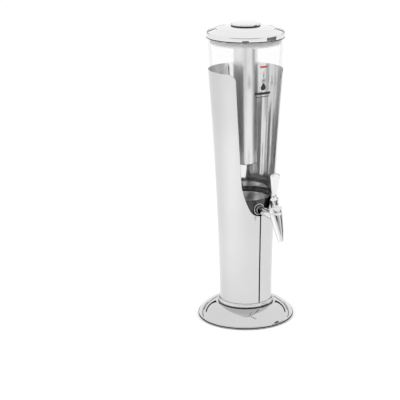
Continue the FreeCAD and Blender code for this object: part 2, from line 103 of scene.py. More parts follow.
class TowerFinishes(bpy.types.PropertyGroup):
    sheet: colour("Housing steel", "Polished sheet of the housing", (0.61, 0.61, 0.615))
    chrome: colour("Chrome", "Foot and ring", (0.62, 0.62, 0.625))
    lid_chrome: colour("Lid chrome", "Lid and ice cap", (0.78, 0.78, 0.785))
    tap_chrome: colour("Tap chrome", "Bright plating of the tap", (0.74, 0.74, 0.745))
    ice_steel: colour("Ice tube steel", "Drawn tube", (0.76, 0.76, 0.76))
    # The same black is painted shade on the tap's stem and the ice cap's band.
    black: colour("Black plastic", "Base cup and stem", (0.012, 0.012, 0.013))
    rubber: colour("Rubber", "Pad and gaskets", (0.022, 0.022, 0.023))
    print_dark: colour("Printed mark", "Generic mark on the tank", (0.008, 0.008, 0.009))
    print_red: colour("Fill line", "Short red line on the tank", (0.45, 0.05, 0.05))
    smudge: share("Handling marks", "How strongly fingerprints dull the metal", 0.35)
    grain: share("Polishing grain", "Depth of the polishing lines", 0.25)


def sizes():
    return bpy.context.scene.tower_sizes


def finishes():
    return bpy.context.scene.tower_finishes


# ---- outlines (millimetres) ---------------------------------------------------------------
def band(inner, outer, low, high):
    """Section of a plain ring."""
    return [(inner, low), (outer, low), (outer, high), (inner, high)]


def between_three(a, b, c, count):
    """Points on the arc from a through b to c, without a."""
    (ax, ay), (bx, by), (cx, cy) = a, b, c
    d = 2 * (ax * (by - cy) + bx * (cy - ay) + cx * (ay - by))
    aa, bb, cc = ax**2 + ay**2, bx**2 + by**2, cx**2 + cy**2
    ux = (aa * (by - cy) + bb * (cy - ay) + cc * (ay - by)) / d
    uy = (aa * (cx - bx) + bb * (ax - cx) + cc * (bx - ax)) / d
    radius = math.hypot(ax - ux, ay - uy)
    first, middle, last = (math.atan2(y - uy, x - ux) for x, y in (a, b, c))
    if d > 0:
        middle += math.tau * (middle < first)
        last += math.tau * (last < middle)
    else:
        middle -= math.tau * (middle > first)
        last -= math.tau * (last > middle)
    angles = (first + (last - first) * k / count for k in range(1, count + 1))
    return [(ux + radius * math.cos(t), uy + radius * math.sin(t)) for t in angles]


def on_curve(a, b, c, d, count):
    """Points on the Bezier curve with poles a, b, c and d, without a."""
    points = []
    for k in range(1, count + 1):
        t = k / count
        w = ((1 - t) ** 3, 3 * t * (1 - t) ** 2, 3 * t * t * (1 - t), t**3)
        points.append(tuple(sum(wi * p[i] for wi, p in zip(w, (a, b, c, d))) for i in (0, 1)))
    return points


def path(start, *steps, fine=16):
    """Points of an outline. A step is a point, (through, end) or (pole, pole, end)."""
    points = [start]
    for step in steps:
        if not isinstance(step[0], tuple):
            points.append(step)
        elif len(step) == 2:
            points += between_three(points[-1], *step, fine)
        else:
            points += on_curve(points[-1], *step, fine)
    return points


def eased(points, ease, corners=20.0, steps=3):
    """The same outline with its sharp corners rounded; points on the axis stay."""
    soft, count = [], len(points)
    for i, here in enumerate(points):
        before, after = Vector(points[i - 1]), Vector(points[(i + 1) % count])
        at = Vector(here)
        back, ahead = before - at, after - at
        if here[0] < 1e-6 or back.length < 1e-6 or ahead.length < 1e-6:
            soft.append(here)
            continue
        if math.degrees(math.pi - back.angle(ahead)) < corners:
            soft.append(here)
            continue
        cut = min(ease, 0.45 * back.length, 0.45 * ahead.length)
        a, b = at + back.normalized() * cut, at + ahead.normalized() * cut
        for k in range(steps + 1):
            t = k / steps
            soft.append(tuple(a * (1 - t) ** 2 + at * 2 * t * (1 - t) + b * t * t))
    return soft


# ---- modelling ------------------------------------------------------------------------------
def start_clean():
    if bpy.context.object and bpy.context.object.mode != "OBJECT":
        bpy.ops.object.mode_set(mode="OBJECT")
    bpy.ops.object.select_all(action="DESELECT")


def only(piece):
    start_clean()
    piece.select_set(True)
    bpy.context.view_layer.objects.active = piece


def named(name):
    piece = bpy.context.active_object
    piece.name = name
    piece.data.name = name
    return piece


def close_mesh(piece, gap=1e-7):
    """Merge doubles and point every face outwards."""
    only(piece)
    bpy.ops.object.mode_set(mode="EDIT")
    bpy.ops.mesh.select_all(action="SELECT")
    bpy.ops.mesh.remove_doubles(threshold=gap)
    bpy.ops.mesh.normals_make_consistent(inside=False)
    bpy.ops.object.mode_set(mode="OBJECT")


def smooth(piece, angle=32.0):
    only(piece)
    bpy.ops.object.shade_smooth_by_angle(angle=math.radians(angle))


def settle(piece, tilt=0.0, at=(0.0, 0.0, 0.0)):
    """Tip a piece about X by tilt degrees, move it to a point in mm, and fix that in its mesh."""
    only(piece)
    piece.rotation_euler = (math.radians(tilt), 0.0, 0.0)
    piece.location = [v * MM for v in at]
    bpy.ops.object.transform_apply(location=True, rotation=True, scale=True)


def turned(name, points, sides, ease=None):
    """Turn an outline of (radius, height) in mm about Z: one circle, extruded ring by ring."""
    start_clean()
    rings = eased(points, sizes().ease / MM if ease is None else ease)
    poles = [p for p in rings if p[0] < 1e-6]
    while rings[0][0] < 1e-6 or (poles and rings[-1][0] > 1e-6):
        rings = rings[1:] + rings[:1]
    if len(poles) == 1:
        rings = [p for p in rings if p[0] > 1e-6] + [(0.0, rings[-1][1])]
    r, z = rings[0]
    bpy.ops.mesh.primitive_circle_add(vertices=sides, radius=r * MM, location=(0, 0, z * MM))
    piece = named(name)
    bpy.ops.object.transform_apply(location=True, rotation=False, scale=False)
    bpy.ops.object.mode_set(mode="EDIT")
    bpy.ops.mesh.select_all(action="SELECT")
    followers = rings[1:] if poles else rings[1:] + rings[:1]
    for next_r, next_z in followers:
        rise = (0, 0, (next_z - z) * MM)
        bpy.ops.mesh.extrude_region_move(TRANSFORM_OT_translate={"value": rise})
        if r > 1e-6:
            bpy.ops.transform.resize(value=(next_r / r, next_r / r, 1),
                                     center_override=(0, 0, next_z * MM))
        if next_r < 1e-6:
            break
        r, z = next_r, next_z
    bpy.ops.object.mode_set(mode="OBJECT")
    if poles:
        close_pole(piece, rings[0][1])
    close_mesh(piece)
    smooth(piece)
    return piece


def close_pole(piece, height):
    """Close the open first ring to a point on the axis."""
    only(piece)
    bpy.ops.object.mode_set(mode="EDIT")
    bpy.ops.mesh.select_all(action="DESELECT")
    mesh = bmesh.from_edit_mesh(piece.data)
    for edge in mesh.edges:
        if edge.is_boundary and all(abs(v.co.z - height * MM) < 1e-8 for v in edge.verts) \
                and all(math.hypot(v.co.x, v.co.y) > 1e-6 for v in edge.verts):
            edge.select_set(True)
    bmesh.update_edit_mesh(piece.data)
    bpy.ops.mesh.extrude_region_move()
    bpy.ops.transform.resize(value=(0, 0, 1), center_override=(0, 0, height * MM))
    bpy.ops.object.mode_set(mode="OBJECT")


def modify(piece, kind, **values):
    """Add a modifier, set it, and apply it."""
    only(piece)
    modifier = piece.modifiers.new(kind.title(), kind)
    for key, value in values.items():
        setattr(modifier, key, value)
    bpy.ops.object.modifier_apply(modifier=modifier.name)


def merged_copy(node, name, angle=28.0):
    """A copy of a CAD node's mesh with its loose triangles merged, so that it shades smoothly."""
    start_clean()
    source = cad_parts[node]
    piece = bpy.data.objects.new(name, source.data.copy())
    bpy.context.scene.collection.objects.link(piece)
    piece.data.materials.clear()
    only(piece)
    bpy.ops.object.mode_set(mode="EDIT")
    bpy.ops.mesh.select_all(action="SELECT")
    bpy.ops.mesh.remove_doubles(threshold=1e-6)
    bpy.ops.object.mode_set(mode="OBJECT")
    smooth(piece, angle)
    return piece


def dress(piece, body, slot, material, *nodes):
    """Give a finished piece its material, its body and the CAD nodes it stands for; the slot is not
    used.
    """
    if material:
        piece.data.materials.clear()
        piece.data.materials.append(material)
    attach(piece, body)
    if nodes:
        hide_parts(*nodes)
    return piece


# ---- finishes -------------------------------------------------------------------------------
def node(tree, kind, at=(0, 0), **values):
    made = tree.nodes.new(kind)
    made.location = at
    for key, value in values.items():
        if hasattr(made, key) and key not in made.inputs:
            setattr(made, key, value)
        else:
            made.inputs[key].default_value = value
    return made


def span(tree, at, start, end, **more):
    """Map Range node that reads from start to end."""
    made = node(tree, "ShaderNodeMapRange", at, **more)
    made.inputs["From Min"].default_value = start
    made.inputs["From Max"].default_value = end
    return made


def new_group(name, inputs, outputs):
    """Shader node group with float or vector inputs and float outputs."""
    tree = bpy.data.node_groups.new(name, "ShaderNodeTree")
    for socket, default in inputs.items():
        kind = "NodeSocketVector" if default is None else "NodeSocketFloat"
        made = tree.interface.new_socket(name=socket, in_out="INPUT", socket_type=kind)
        if default is not None:
            made.default_value = default
    for socket in outputs:
        tree.interface.new_socket(name=socket, in_out="OUTPUT", socket_type="NodeSocketFloat")
    return tree, node(tree, "NodeGroupInput", (-900, 0)), node(tree, "NodeGroupOutput", (700, 0))


def handling_marks():
    """Soft smudges and wipe marks that dull a polished surface here and there."""
    if "Handling Marks" in bpy.data.node_groups:
        return bpy.data.node_groups["Handling Marks"]
    given_values = {"Vector": None, "Clean": 0.1, "Dull": 0.3, "Amount": 0.3}
    tree, given, out = new_group("Handling Marks", given_values, ["Roughness", "Mask"])
    links = tree.links
    patches = node(tree, "ShaderNodeTexNoise", (-650, 200), Scale=14.0, Detail=5.0, Roughness=0.62)
    wipes = node(tree, "ShaderNodeTexNoise", (-650, -100), Scale=60.0, Detail=3.0, Roughness=0.5)
    stretch = node(tree, "ShaderNodeMapping", (-820, -120), Scale=(1.0, 1.0, 0.25))
    shape = span(tree, (-420, 200), 0.48, 0.78)
    blend = node(tree, "ShaderNodeMath", (-200, 100), operation="MULTIPLY")
    amount = node(tree, "ShaderNodeMath", (0, 100), operation="MULTIPLY")
    mix = node(tree, "ShaderNodeMapRange", (250, 100))
    links.new(given.outputs["Vector"], patches.inputs["Vector"])
    links.new(given.outputs["Vector"], stretch.inputs["Vector"])
    links.new(stretch.outputs["Vector"], wipes.inputs["Vector"])
    links.new(patches.outputs["Fac"], shape.inputs["Value"])
    links.new(shape.outputs["Result"], blend.inputs[0])
    links.new(wipes.outputs["Fac"], blend.inputs[1])
    links.new(blend.outputs["Value"], amount.inputs[0])
    links.new(given.outputs["Amount"], amount.inputs[1])
    links.new(amount.outputs["Value"], mix.inputs["Value"])
    links.new(given.outputs["Clean"], mix.inputs["To Min"])
    links.new(given.outputs["Dull"], mix.inputs["To Max"])
    links.new(mix.outputs["Result"], out.inputs["Roughness"])
    links.new(amount.outputs["Value"], out.inputs["Mask"])
    return tree


def polishing_grain():
    """Fine parallel polishing lines with a few deeper hairlines."""
    if "Polishing Grain" in bpy.data.node_groups:
        return bpy.data.node_groups["Polishing Grain"]
    given_values = {"Vector": None, "Lines": 900.0, "Hairlines": 0.2}
    tree, given, out = new_group("Polishing Grain", given_values, ["Height"])
    links = tree.links
    lines = node(tree, "ShaderNodeTexNoise", (-450, 150), Detail=2.0, Roughness=0.6)
    hairs = node(tree, "ShaderNodeTexNoise", (-450, -150), Scale=140.0, Detail=1.0, Distortion=0.4)
    thin = span(tree, (-200, -150), 0.70, 0.74)
    weigh = node(tree, "ShaderNodeMath", (50, -100), operation="MULTIPLY")
    total = node(tree, "ShaderNodeMath", (280, 50), operation="SUBTRACT")
    links.new(given.outputs["Vector"], lines.inputs["Vector"])
    links.new(given.outputs["Lines"], lines.inputs["Scale"])
    links.new(given.outputs["Vector"], hairs.inputs["Vector"])
    links.new(hairs.outputs["Fac"], thin.inputs["Value"])
    links.new(thin.outputs["Result"], weigh.inputs[0])
    links.new(given.outputs["Hairlines"], weigh.inputs[1])
    links.new(lines.outputs["Fac"], total.inputs[0])
    links.new(weigh.outputs["Value"], total.inputs[1])
    links.new(total.outputs["Value"], out.inputs["Height"])
    return tree


def moulded_skin():
    """Fine grain of moulded plastic or rubber, with sparse dust."""
    if "Moulded Skin" in bpy.data.node_groups:
        return bpy.data.node_groups["Moulded Skin"]
    given_values = {"Vector": None, "Grain Scale": 900.0, "Dust": 0.1}
    tree, given, out = new_group("Moulded Skin", given_values, ["Height", "Dust Mask"])
    links = tree.links
    grain = node(tree, "ShaderNodeTexVoronoi", (-450, 150))
    specks = node(tree, "ShaderNodeTexNoise", (-450, -150), Scale=420.0, Detail=2.0)
    sparse = span(tree, (-200, -150), 0.66, 0.8)
    weigh = node(tree, "ShaderNodeMath", (50, -150), operation="MULTIPLY")
    links.new(given.outputs["Vector"], grain.inputs["Vector"])
    links.new(given.outputs["Grain Scale"], grain.inputs["Scale"])
    links.new(given.outputs["Vector"], specks.inputs["Vector"])
    links.new(specks.outputs["Fac"], sparse.inputs["Value"])
    links.new(sparse.outputs["Result"], weigh.inputs[0])
    links.new(given.outputs["Dust"], weigh.inputs[1])
    links.new(grain.outputs["Distance"], out.inputs["Height"])
    links.new(weigh.outputs["Value"], out.inputs["Dust Mask"])
    return tree


def blank_material(name):
    material = bpy.data.materials.new(name)
    material.use_nodes = True
    tree = material.node_tree
    shader = tree.nodes["Principled BSDF"]
    place = node(tree, "ShaderNodeTexCoord", (-1300, 0))
    return material, tree, shader, place.outputs["Object"]


def placed(tree, group, at, **values):
    made = tree.nodes.new("ShaderNodeGroup")
    made.node_tree = group
    made.location = at
    for key, value in values.items():
        made.inputs[key.replace("_", " ")].default_value = value
    return made


def metal(name, tint, clean, dull, grain=0.0, lines=900.0, tone=0.04):
    """Plated or polished metal: its tone drifts a little, smudges dull it, grain runs upright."""
    if name in bpy.data.materials:
        return bpy.data.materials[name]
    material, tree, shader, place = blank_material(name)
    links = tree.links
    shader.inputs["Metallic"].default_value = 1.0
    drift = node(tree, "ShaderNodeTexNoise", (-1000, 350), Scale=6.0, Detail=3.0)
    ramp = node(tree, "ShaderNodeValToRGB", (-750, 350))
    low, high = ramp.color_ramp.elements
    low.position, high.position = 0.3, 0.7
    low.color = [c * (1 - tone) for c in tint] + [1.0]
    high.color = [min(1.0, c * (1 + tone)) for c in tint] + [1.0]
    marks = placed(tree, handling_marks(), (-700, 50), Clean=clean, Dull=dull,
                   Amount=finishes().smudge)
    links.new(place, drift.inputs["Vector"])
    links.new(drift.outputs["Fac"], ramp.inputs["Fac"])
    links.new(ramp.outputs["Color"], shader.inputs["Base Color"])
    links.new(place, marks.inputs["Vector"])
    links.new(marks.outputs["Roughness"], shader.inputs["Roughness"])
    if grain:
        along = node(tree, "ShaderNodeMapping", (-1000, -250), Scale=(1.0, 1.0, 0.02))
        polish = placed(tree, polishing_grain(), (-750, -250), Lines=lines)
        bump = node(tree, "ShaderNodeBump", (-350, -250), Strength=grain, Distance=0.00002)
        links.new(place, along.inputs["Vector"])
        links.new(along.outputs["Vector"], polish.inputs["Vector"])
        links.new(polish.outputs["Height"], bump.inputs["Height"])
        links.new(bump.outputs["Normal"], shader.inputs["Normal"])
    return material


def moulded(name, tint, roughness, bump_strength=0.15, grain_scale=900.0, coat=0.0, dust=0.06):
    """Moulded plastic or rubber with a fine grain and a trace of dust."""
    if name in bpy.data.materials:
        return bpy.data.materials[name]
    material, tree, shader, place = blank_material(name)
    links = tree.links
    skin = placed(tree, moulded_skin(), (-800, -200), Grain_Scale=grain_scale, Dust=dust)
    marks = placed(tree, handling_marks(), (-800, 60), Clean=roughness,
                   Dull=min(1.0, roughness + 0.25), Amount=finishes().smudge)
    tone = node(tree, "ShaderNodeMix", (-350, 300), data_type="RGBA")
    tone.inputs[6].default_value = (*tint, 1.0)
    tone.inputs[7].default_value = (*[min(1.0, c + 0.12) for c in tint], 1.0)
    bump = node(tree, "ShaderNodeBump", (-350, -250), Strength=bump_strength, Distance=0.00005)
    shader.inputs["Coat Weight"].default_value = coat
    shader.inputs["Coat Roughness"].default_value = 0.08
    links.new(place, skin.inputs["Vector"])
    links.new(place, marks.inputs["Vector"])
    links.new(skin.outputs["Dust Mask"], tone.inputs["Factor"])
    links.new(tone.outputs[2], shader.inputs["Base Color"])
    links.new(marks.outputs["Roughness"], shader.inputs["Roughness"])
    links.new(skin.outputs["Height"], bump.inputs["Height"])
    links.new(bump.outputs["Normal"], shader.inputs["Normal"])
    return material


def clear(name, tint, roughness, facing, grazing, ior=1.49):
    """Clear or milky plastic: see-through when faced, more solid at a glance, with wipe marks."""
    if name in bpy.data.materials:
        return bpy.data.materials[name]
    material, tree, shader, place = blank_material(name)
    links = tree.links
    shader.inputs["Base Color"].default_value = (*tint, 1.0)
    shader.inputs["IOR"].default_value = ior
    marks = placed(tree, handling_marks(), (-700, 50), Clean=roughness, Dull=roughness + 0.12,
                   Amount=finishes().smudge)
    glance = node(tree, "ShaderNodeLayerWeight", (-700, -200), Blend=0.25)
    depth = node(tree, "ShaderNodeMapRange", (-450, -200))
    depth.inputs["From Min"].default_value = 0.42
    depth.inputs["To Min"].default_value = facing
    depth.inputs["To Max"].default_value = grazing
    haze = node(tree, "ShaderNodeMath", (-200, -200), operation="MULTIPLY_ADD")
    haze.inputs[1].default_value = 0.03
    links.new(place, marks.inputs["Vector"])
    links.new(marks.outputs["Roughness"], shader.inputs["Roughness"])
    links.new(glance.outputs["Facing"], depth.inputs["Value"])
    links.new(marks.outputs["Mask"], haze.inputs[0])
    links.new(depth.outputs["Result"], haze.inputs[2])
    links.new(haze.outputs["Value"], shader.inputs["Alpha"])
    return material


def chrome():
    return metal("Mirror Chrome", finishes().chrome, 0.035, 0.22, tone=0.02)


def lid_chrome():
    return metal("Lid Chrome", finishes().lid_chrome, 0.045, 0.22, tone=0.02)


def tap_chrome():
    return metal("Tap Chrome", finishes().tap_chrome, 0.05, 0.25, tone=0.02)


def housing_steel():
    return metal("Polished Sheet", finishes().sheet, 0.13, 0.3, grain=finishes().grain, lines=700.0)


def housing_inside():
    return metal("Polished Inside", (0.90, 0.90, 0.90), 0.07, 0.16, grain=0.15, lines=700.0)


def inner_steel():
    return metal("Plain Sheet", (0.5, 0.5, 0.5), 0.28, 0.45, grain=0.3, lines=700.0)


def ice_tube_steel():
    return metal("Drawn Tube", finishes().ice_steel, 0.30, 0.42, grain=0.3, lines=700.0)


def fastener_zinc():
    return metal("Zinc Plate", (0.55, 0.55, 0.53), 0.3, 0.5, tone=0.08)


def spring_wire():
    return metal("Spring Wire", (0.5, 0.5, 0.5), 0.2, 0.35)


# Black moulding of the cup, nut and washer; on the tap's stem and the ice cap's band the same black is
# painted shade.
def black_plastic_and_painted_shade():
    return moulded("Black Moulding And Painted Shade", finishes().black, 0.16, bump_strength=0.05, coat=0.4)


def black_rubber():
    return moulded("Black Rubber", finishes().rubber, 0.62, bump_strength=0.3,
                   grain_scale=1400.0, dust=0.25)


def cup_inside():
    return metal("Cup Lining", (0.72, 0.72, 0.72), 0.22, 0.35, grain=0.2, lines=700.0)


def painted_shade_black():
    # Near-black and almost unreflective: painted shade, in the seam gap behind the housing's real strip
    # and along the lid rim's lower edge.
    material = moulded("Painted Shade Black", (0.004, 0.004, 0.004), 0.85, bump_strength=0.1, dust=0.01)
    material.node_tree.nodes["Principled BSDF"].inputs["Specular IOR Level"].default_value = 0.1
    return material


def cast_iron():
    return moulded("Cast Weight", (0.05, 0.05, 0.052), 0.7, bump_strength=0.6,
                   grain_scale=500.0, dust=0.15)


def clear_acrylic():
    return clear("Clear Acrylic", (0.55, 0.56, 0.57), 0.01, 0.015, 0.6)


def milky_seal():
    return clear("Milky Seal", (0.62, 0.62, 0.62), 0.3, 0.6, 0.9, ior=1.41)


def lid_plastic():
    return clear("Lid Lining", (0.75, 0.75, 0.75), 0.25, 0.7, 0.95)


def printed(name, tint):
    return moulded(name, tint, 0.4, bump_strength=0.1)


# ---- operators: one per piece or group -------------------------------------------------------
class TOWER_OT_foot(bpy.types.Operator):
    """Domed chrome cover of the foot"""
    bl_idname = "tower.foot"
    bl_label = "Foot"

    def execute(self, context):
        s = sizes()
        edge, top, thick = s.foot_radius / MM - 0.02, s.foot_top / MM, 1.5
        section, centre_r = 49.0, 58.4

        def dome(r, radius):
            return top - section + math.sqrt(radius**2 - (r - centre_r) ** 2)

        outer, inner = edge - 0.5, edge - 0.5 - thick
        outline = path((20.0, top - thick), (20.0, top), (centre_r, top),
                       ((85.0, dome(85.0, section)), (outer, dome(outer, section))),
                       ((edge, 4.0), (outer, 1.0)), (inner, 1.0),
                       (inner, dome(inner, section - thick)),
                       ((85.0, dome(85.0, section - thick)), (centre_r, top - thick)), fine=28)
        cover = turned("foot_cover", outline, s.sides)
        dress(cover, "stand", "foot_chrome", chrome(), "base_cover")
        return {"FINISHED"}


class TOWER_OT_fittings(bpy.types.Operator):
    """Finishes for the CAD pieces that stay: weight, pad, bolts, shelf, strip, small tap parts"""
    bl_idname = "tower.fittings"
    bl_label = "Fittings"

    def execute(self, context):
        kept = {
            cast_iron: ("base_weight",),
            black_rubber: ("base_pad", "tank_seat_pad", "tap_bonnet_seal", "tank_base_oring",
                           "ice_cap_oring", "ice_tube_gasket", "tap_inner_washer"),
            fastener_zinc: ("base_bolts", "base_washers", "base_nuts", "tap_handle_stud"),
            inner_steel: ("housing_bottom_plate", "tank_seat"),
            black_plastic_and_painted_shade: ("tap_nut", "tap_seat_cup"),
            # The seam strip is a real part; its near-black finish is painted shade in the seam gap.
            painted_shade_black: ("seam_strip",),
        }
        for material, names in kept.items():
            for name in names:
                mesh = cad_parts[name].data
                mesh.materials.clear()
                mesh.materials.append(material())
        return {"FINISHED"}


class TOWER_OT_ring(bpy.types.Operator):
    """Chrome ring that holds the housing, on its black gasket"""
    bl_idname = "tower.ring"
    bl_label = "Ring"

    def execute(self, context):
        s = sizes()
        radius, top = reach_of("housing_ring") / MM, top_of("housing_ring") / MM
        low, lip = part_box("housing_ring")[0].z / MM, WALL_LOW
        inner, bore = 55.5, 20.0
        outline = path((bore, low), (radius - 0.6, low), (radius, low + 0.8), (radius, top - 3.5),
                       ((radius - 1.0, top - 1.1), (radius - 3.2, top)), (inner, top), (inner, lip),
                       (bore, lip))
        ring = turned("holding_ring", outline, s.sides)
        dress(ring, "stand", "ring_chrome", chrome(), "housing_ring")
        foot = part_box("ring_gasket")
        outline = band(bore, foot[1].x / MM, foot[0].z / MM, foot[1].z / MM)
        gasket = turned("ring_gasket_black", outline, s.sides)
        dress(gasket, "stand", "seal_rubber", black_rubber(), "ring_gasket")
        return {"FINISHED"}


WINDOW_LOW, WINDOW_SIDE, WINDOW_CORNER = 233.5, 300.0, 517.5
WALL_LOW, WALL_TOP = 35.0, 535.0
SEAM_HALF = 1.5
WALL_RADII = (55.2, 58.6, 77.6)      # at the bottom, the pull of the curve, and at the top


def wall_radius(z):
    """Outside radius of the housing at height z."""
    t = (z - WALL_LOW) / (WALL_TOP - WALL_LOW)
    low, pull, high = WALL_RADII
    return low * (1 - t) ** 2 + pull * 2 * t * (1 - t) + high * t * t


def window_outline():
    """Right half of the window, from its lowest point up, as (half width, height)."""
    bottom_r = 27.0

    def on_bottom(degrees):
        turn = math.radians(degrees)
        return bottom_r * math.cos(turn), WINDOW_LOW + bottom_r * (1 - math.sin(turn))
    corner, top_half, pull = 55.0, 66.7, 0.55
    poles = ((corner, WINDOW_CORNER + pull * (WALL_TOP - WINDOW_CORNER)),
             (top_half - pull * (top_half - corner), WALL_TOP))
    return path((0.0, WINDOW_LOW), (on_bottom(61.5), on_bottom(33.0)),
                ((33.2, WINDOW_LOW + 38.5), (39.6, WINDOW_SIDE)), (corner, WINDOW_CORNER),
                (*poles, (top_half, WALL_TOP)), fine=40)


def half_width(z, outline):
    """Half width of the opening at height z: the seam's below the window."""
    if z <= WINDOW_LOW:
        return SEAM_HALF
    for (x0, z0), (x1, z1) in zip(outline, outline[1:]):
        if z0 <= z <= z1 and z1 > z0:
            return max(SEAM_HALF, x0 + (x1 - x0) * (z - z0) / (z1 - z0))
    return max(SEAM_HALF, outline[-1][0])


def rows_of_sheet():
    """Heights of the sheet's rows, close together where the window's edge runs flat."""
    rows = [WALL_LOW + (WINDOW_LOW - WALL_LOW) * k / 40 for k in range(41)]
    rows += [WINDOW_LOW + (WINDOW_SIDE - WINDOW_LOW) * (k / 44) ** 2 for k in range(1, 45)]
    rows += [WINDOW_SIDE + (WINDOW_CORNER - WINDOW_SIDE) * k / 44 for k in range(1, 45)]
    rows += [WALL_TOP - (WALL_TOP - WINDOW_CORNER) * (1 - k / 22) ** 2 for k in range(1, 23)]
    return rows


class TOWER_OT_housing(bpy.types.Operator):
    """Flat sheet with the window cut in it, rolled round the tower and thickened"""
    bl_idname = "tower.housing"
    bl_label = "Housing"

    def execute(self, context):
        rows, outline = rows_of_sheet(), window_outline()
        columns = sizes().sides
        start_clean()
        steps = len(rows) - 1
        bpy.ops.mesh.primitive_grid_add(x_subdivisions=columns, y_subdivisions=steps, size=1.0)
        sheet = named("housing_sheet")
        for vertex in sheet.data.vertices:
            across = vertex.co.x + 0.5
            z = rows[round((vertex.co.y + 0.5) * steps)]
            r = wall_radius(z)
            edge = math.asin(min(1.0, half_width(z, outline) / r))
            turn = edge + (math.tau - 2 * edge) * across
            vertex.co = (r * MM * math.sin(turn), -r * MM * math.cos(turn), z * MM)
        sheet.data.materials.append(housing_steel())
        sheet.data.materials.append(housing_inside())
        modify(sheet, "SOLIDIFY", thickness=1.0 * MM, offset=-1.0, use_even_offset=False,
               use_quality_normals=True, material_offset=1)
        modify(sheet, "BEVEL", width=0.22 * MM, segments=2, limit_method="ANGLE",
               angle_limit=math.radians(40))
        smooth(sheet, 40.0)
        dress(sheet, "stand", "housing_steel", None, "housing")
        return {"FINISHED"}


CUP_TOP = 267.0
TANK_POLES = ((67.0, 440.0), (75.5, 545.0))      # they bend the clear wall between cup and rim


class TOWER_OT_tank(bpy.types.Operator):
    """Clear tapered wall of the tank and its black base cup"""
    bl_idname = "tower.tank"
    bl_label = "Tank"

    def execute(self, context):
        s = sizes()
        top, rim, wall = s.tank_top / MM, reach_of("tank") / MM, 3.0
        low, cup_r, cup_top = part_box("tank")[0].z / MM, reach_of("tank_base_cup") / MM, CUP_TOP
        spigot = cup_r - 1.9

        def poles(inset):
            (r0, z0), (r1, z1) = TANK_POLES
            return (r0 - inset, z0), (r1 - inset, z1), (rim - inset, top)
        up, down = poles(0.0), poles(wall)
        outline = path((cup_r - wall - 1.1, low), (spigot, low), (spigot, cup_top),
                       (cup_r, cup_top), up, down[2],
                       (down[1], down[0], (cup_r - wall, cup_top)), fine=48)
        wall_piece = turned("tank_wall", outline, s.sides, ease=0.7)
        dress(wall_piece, "tank", "tank_clear", clear_acrylic(), "tank")

        foot, floor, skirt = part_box("tank_base_cup")[0].z / MM, 232.0, 3.5
        foot_r = 49.0

        def cup(z):
            return foot_r + (cup_r - foot_r) * (z - foot) / (cup_top - foot)
        ledge = cup_top - 7.0
        outline = [(0.0, floor - 3.0), (foot_r - skirt, floor - 5.0), (foot_r - skirt, foot),
                   (foot_r, foot), (cup(foot + 3.0), foot + 3.0), (cup(cup_top - 0.1), cup_top),
                   (cup_r - 1.8, cup_top), (cup_r - 1.8, ledge), (cup(ledge) - 5.5, ledge),
                   (cup(floor) - 7.0, floor + 1.2), (cup(floor) - 12.0, floor), (0.0, floor)]
        base = turned("tank_cup", outline, s.sides, ease=0.8)
        dress(base, "tank", "cup_black", black_plastic_and_painted_shade(), "tank_base_cup")
        base.data.materials.append(cup_inside())
        for face in base.data.polygons:
            centre = face.center
            reach = math.hypot(centre.x, centre.y)
            inward = face.normal.x * centre.x + face.normal.y * centre.y < 0 or face.normal.z > 0.9
            if inward and centre.z > (floor - 0.5) * MM and reach < (cup_r - 3.0) * MM:
                face.material_index = 1
        return {"FINISHED"}


class TOWER_OT_tap(bpy.types.Operator):
    """Chrome tap: body, shank, washer, bonnet, yoke, stem, lever and handle"""
    bl_idname = "tower.tap"
    bl_label = "Tap"

    def execute(self, context):
        count = sizes().small_sides
        tilt, reach, height = -19.0, 122.9, 247.0
        tip, tip_r, body_r = -51.0, 5.8, 13.2
        outline = path((3.9, tip), (tip_r, tip), ((10.6, -22.0), (body_r, 4.0)), (body_r, 8.7),
                       (11.5, 8.9), (11.5, 14.0), (7.0, 14.0), (7.0, -5.1), (3.5, -8.6),
                       (3.5, -30.0), fine=28)
        body = turned("tap_barrel", outline, count, ease=0.9)
        settle(body, tilt, (0.0, -reach, height))
        dress(body, "tank", "tap_chrome", tap_chrome(), "tap_body")

        outline = path((11.6, 9.0), (13.5, 9.0), (13.5, 19.5), ((13.0, 20.55), (11.9, 21.0)),
                       (10.3, 21.0), (9.6, 20.3), (9.6, 17.7), (11.6, 17.7), fine=8)
        bonnet = turned("tap_collar", outline, count)
        settle(bonnet, tilt, (0.0, -reach, height))
        dress(bonnet, "tank", "tap_chrome", tap_chrome(), "tap_bonnet")

        near, far, collar, washer_r = 35.5, reach - 9.0, 54.5, 10.9
        outline = [(4.0, near), (7.5, near), (7.5, collar), (9.0, collar), (9.0, far), (4.0, far)]
        shank = turned("tap_shank_tube", outline, count)
        settle(shank, 90.0, (0.0, 0.0, height))
        dress(shank, "tank", "tap_chrome", tap_chrome(), "tap_shank")

        washer = turned("tap_washer_black", band(7.6, washer_r, 49.5, 54.2), count, ease=0.6)
        settle(washer, 90.0, (0.0, 0.0, height))
        dress(washer, "tank", "seal_rubber", black_plastic_and_painted_shade(), "tap_outer_washer")

        rim = turned("tap_washer_rim", band(washer_r, 12.2, 50.5, 54.6), count, ease=0.5)
        settle(rim, 90.0, (0.0, 0.0, height))
        dress(rim, "tank", "tap_chrome", tap_chrome())

        coil = merged_copy("tap_spring", "tap_spring_coil")
        dress(coil, "tank", "spring_steel", spring_wire(), "tap_spring")
        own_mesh(coil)

        for name, source, bodyname, slot, finish in (
                ("tap_yoke_chrome", "tap_yoke", "tank", "tap_chrome", tap_chrome),
                # The stem is dressed black: painted shade standing in for the shadowed chrome stem under
                # the lever's nose.
                ("tap_stem_shade_rod", "tap_stem", "tap_stem", "stem_black", black_plastic_and_painted_shade),
                ("tap_lever_tongue", "tap_lever", "tap_lever", "tap_chrome", tap_chrome),
                ("tap_lever_pin", "tap_pin", "tap_lever", "fastener_steel", fastener_zinc),
                ("tap_handle_paddle", "tap_handle", "tap_lever", "tap_chrome", tap_chrome)):
            dress(merged_copy(source, name), bodyname, slot, finish(), source)
        return {"FINISHED"}


